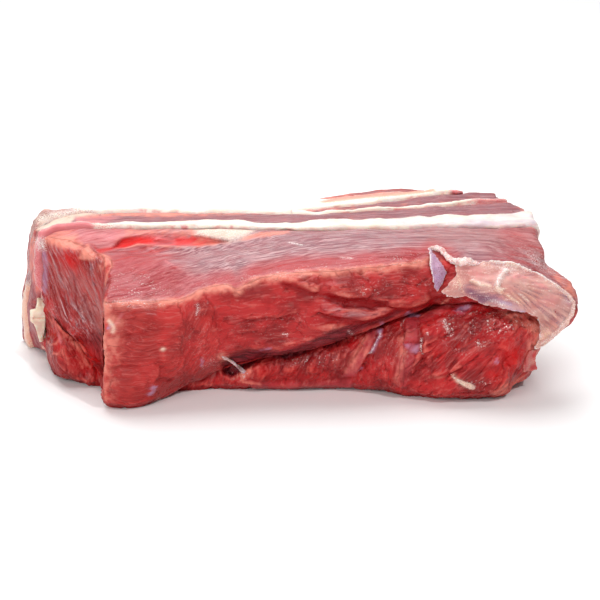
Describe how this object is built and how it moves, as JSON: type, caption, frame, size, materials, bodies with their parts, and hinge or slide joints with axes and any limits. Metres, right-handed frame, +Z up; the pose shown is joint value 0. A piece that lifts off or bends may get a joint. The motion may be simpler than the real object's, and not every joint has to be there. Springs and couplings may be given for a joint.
{
  "type": "raw boneless beef short rib block",
  "caption": "Oblong block of raw boneless beef short rib: red muscle layers and cream fat seams standing on edge, flat on top, with silverskin over one blunt end.",
  "frame": {"origin": "centre of the block's bounding box at its bottom, on the surface that it lies on", "axes": "+X runs along the muscle layers to the blunt end with the silverskin, +Y to the outer back fat, +Z up"},
  "size_m": [0.233, 0.1123, 0.0633],
  "materials": {
    "front_muscle": "raw lean beef, moist, with a mauve film on the cut top",
    "lower_muscle": "raw lean beef, deep red and wet",
    "fat": "raw beef fat, cream white, satin",
    "inner_muscle": "raw beef, greyish mauve and striated, moist",
    "back_fat": "raw beef fat, peach cream, satin",
    "outer_muscle": "raw beef under a thin dry film",
    "tendon": "tendon, cream yellow and glossy",
    "silverskin": "silverskin, pale pink and cream, wet and creased"
  },
  "bodies": {
    "root": {"front_muscle": "front_muscle", "lower_muscle": "lower_muscle", "fat_seam": "fat", "middle_muscle": "inner_muscle", "thin_seam": "fat", "back_muscle": "inner_muscle", "back_fat": "back_fat", "outer_muscle": "outer_muscle", "tendon": "tendon", "silverskin": "silverskin"}
  },
  "joints": []
}
